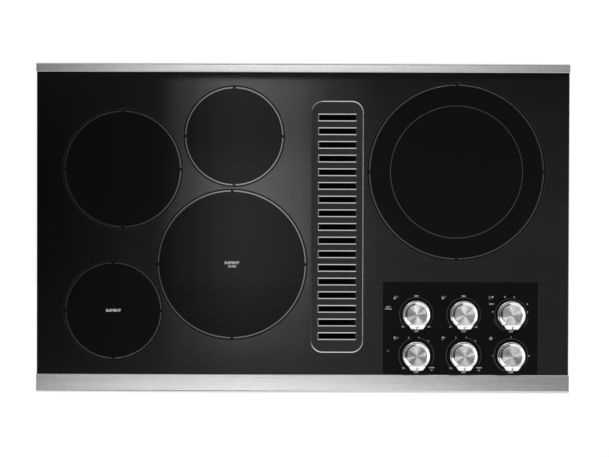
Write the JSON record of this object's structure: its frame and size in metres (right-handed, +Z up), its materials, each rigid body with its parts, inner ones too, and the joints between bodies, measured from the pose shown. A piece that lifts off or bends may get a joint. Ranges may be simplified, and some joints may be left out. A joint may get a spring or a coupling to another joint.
{
  "type": "electric downdraft cooktop",
  "caption": "Built-in glass-ceramic cooktop with radiant burners, push-to-turn knobs and a lift-out vent grille over a downdraft blower.",
  "frame": {"origin": "centre of the footprint on the worktop's surface, where the foam seal rests", "axes": "+X to the user's right along the width, +Y to the rear, +Z up"},
  "size_m": [0.918, 0.568, 0.494],
  "materials": {
    "cooktop_glass": "gloss",
    "trim_steel": "satin",
    "foam": "matte",
    "zinc_sheet": "satin",
    "black_enamel": "gloss",
    "filter_metal": "satin",
    "jar_glass": "gloss",
    "black_steel": "satin",
    "motor_casting": "satin",
    "plated_steel": "satin",
    "insulation": "matte",
    "white_ceramic": "satin",
    "heating_alloy": "satin",
    "switch_plastic": "matte",
    "black_plastic": "matte",
    "cam_plastic": "satin",
    "knob_metal": "polished",
    "lamp_red": "gloss",
    "wire_sleeve": "matte"
  },
  "bodies": {
    "cooktop": {"glass_top": "cooktop_glass", "front_trim": "trim_steel", "rear_trim": "trim_steel", "worktop_seal": "foam", "burner_box": "zinc_sheet", "vent_well": "zinc_sheet", "plenum_box": "zinc_sheet", "blower_housing": "zinc_sheet", "blower_inlet_side": "zinc_sheet", "blower_cover": "zinc_sheet", "blower_motor": "motor_casting", "duct_collar": "zinc_sheet", "control_bracket": "zinc_sheet", "conduit_connector": "plated_steel", "clamp_brackets": "plated_steel", "rear_left_dish": "zinc_sheet", "rear_middle_dish": "zinc_sheet", "front_middle_dish": "zinc_sheet", "front_left_dish": "zinc_sheet", "right_dish": "zinc_sheet", "rear_left_ribbon": "heating_alloy", "rear_middle_ribbon": "heating_alloy", "front_middle_ribbon": "heating_alloy", "front_left_ribbon": "heating_alloy", "right_ribbon": "heating_alloy", "element_insulation": "insulation", "element_limiters": "white_ceramic", "element_springs": "plated_steel", "element_crossbars": "zinc_sheet", "element_switches": "switch_plastic", "indicator_lamps": "lamp_red", "terminal_block": "black_plastic", "wiring": "wire_sleeve", "screws": "plated_steel"},
    "grille": {"vent_grille": "black_enamel"},
    "filter": {"filter_frame": "filter_metal", "filter_mesh": "filter_metal"},
    "jar": {"overflow_jar": "jar_glass"},
    "rotor": {"impeller": "black_steel", "motor_shaft": "plated_steel"},
    "clamp_left": {"clamp_screw_left": "plated_steel"},
    "clamp_right": {"clamp_screw_right": "plated_steel"},
    "switch_cam_1": {"cam_1": "cam_plastic"},
    "control_1": {"spindle_1": "plated_steel", "knob_1": "knob_metal"},
    "switch_cam_2": {"cam_2": "cam_plastic"},
    "control_2": {"spindle_2": "plated_steel", "knob_2": "knob_metal"},
    "switch_cam_3": {"cam_3": "cam_plastic"},
    "control_3": {"spindle_3": "plated_steel", "knob_3": "knob_metal"},
    "switch_cam_4": {"cam_4": "cam_plastic"},
    "control_4": {"spindle_4": "plated_steel", "knob_4": "knob_metal"},
    "switch_cam_5": {"cam_5": "cam_plastic"},
    "control_5": {"spindle_5": "plated_steel", "knob_5": "knob_metal"},
    "switch_cam_6": {"cam_6": "cam_plastic"},
    "control_6": {"spindle_6": "plated_steel", "knob_6": "knob_metal"}
  },
  "joints": [
    {"name": "grille_lift", "type": "slide", "parent": "cooktop", "child": "grille", "axis": [0, 0, 1], "range_m": [0, 0.25]},
    {"name": "filter_lift", "type": "slide", "parent": "cooktop", "child": "filter", "axis": [0, 0, 1], "range_m": [0, 0.2]},
    {"name": "jar_unscrew", "type": "slide", "parent": "cooktop", "child": "jar", "axis": [0, 0, -1], "range_m": [0, 0.12]},
    {"name": "blower_spin", "type": "hinge", "parent": "cooktop", "child": "rotor", "pos_m": [-0.051, -0.03, -0.232], "axis": [1, 0, 0], "continuous": true},
    {"name": "clamp_left_screw", "type": "slide", "parent": "cooktop", "child": "clamp_left", "axis": [0, 0, 1], "range_m": [0, 0.025]},
    {"name": "clamp_right_screw", "type": "slide", "parent": "cooktop", "child": "clamp_right", "axis": [0, 0, 1], "range_m": [0, 0.025]},
    {"name": "knob_1_turn", "type": "hinge", "parent": "cooktop", "child": "switch_cam_1", "pos_m": [0.196, -0.14725, 0], "axis": [0, 0, -1], "range_deg": [0, 315]},
    {"name": "knob_1_push", "type": "slide", "parent": "switch_cam_1", "child": "control_1", "axis": [0, 0, -1], "range_m": [0, 0.003], "stiffness_N_per_m": 1500, "springref_m": -0.004},
    {"name": "knob_2_turn", "type": "hinge", "parent": "cooktop", "child": "switch_cam_2", "pos_m": [0.2775, -0.14725, 0], "axis": [0, 0, -1], "range_deg": [0, 315]},
    {"name": "knob_2_push", "type": "slide", "parent": "switch_cam_2", "child": "control_2", "axis": [0, 0, -1], "range_m": [0, 0.003], "stiffness_N_per_m": 1500, "springref_m": -0.004},
    {"name": "knob_3_turn", "type": "hinge", "parent": "cooktop", "child": "switch_cam_3", "pos_m": [0.359, -0.14725, 0], "axis": [0, 0, -1], "range_deg": [0, 315]},
    {"name": "knob_3_push", "type": "slide", "parent": "switch_cam_3", "child": "control_3", "axis": [0, 0, -1], "range_m": [0, 0.003], "stiffness_N_per_m": 1500, "springref_m": -0.004},
    {"name": "knob_4_turn", "type": "hinge", "parent": "cooktop", "child": "switch_cam_4", "pos_m": [0.196, -0.21775, 0], "axis": [0, 0, -1], "range_deg": [0, 315]},
    {"name": "knob_4_push", "type": "slide", "parent": "switch_cam_4", "child": "control_4", "axis": [0, 0, -1], "range_m": [0, 0.003], "stiffness_N_per_m": 1500, "springref_m": -0.004},
    {"name": "knob_5_turn", "type": "hinge", "parent": "cooktop", "child": "switch_cam_5", "pos_m": [0.2775, -0.21775, 0], "axis": [0, 0, -1], "range_deg": [0, 315]},
    {"name": "knob_5_push", "type": "slide", "parent": "switch_cam_5", "child": "control_5", "axis": [0, 0, -1], "range_m": [0, 0.003], "stiffness_N_per_m": 1500, "springref_m": -0.004},
    {"name": "knob_6_turn", "type": "hinge", "parent": "cooktop", "child": "switch_cam_6", "pos_m": [0.359, -0.21775, 0], "axis": [0, 0, -1], "range_deg": [0, 270]},
    {"name": "knob_6_push", "type": "slide", "parent": "switch_cam_6", "child": "control_6", "axis": [0, 0, -1], "range_m": [0, 0.003], "stiffness_N_per_m": 1500, "springref_m": -0.004}
  ],
  "couplings": [
    {"joint": "filter_lift", "follows": "grille_lift", "ratio": 0.8}
  ]
}
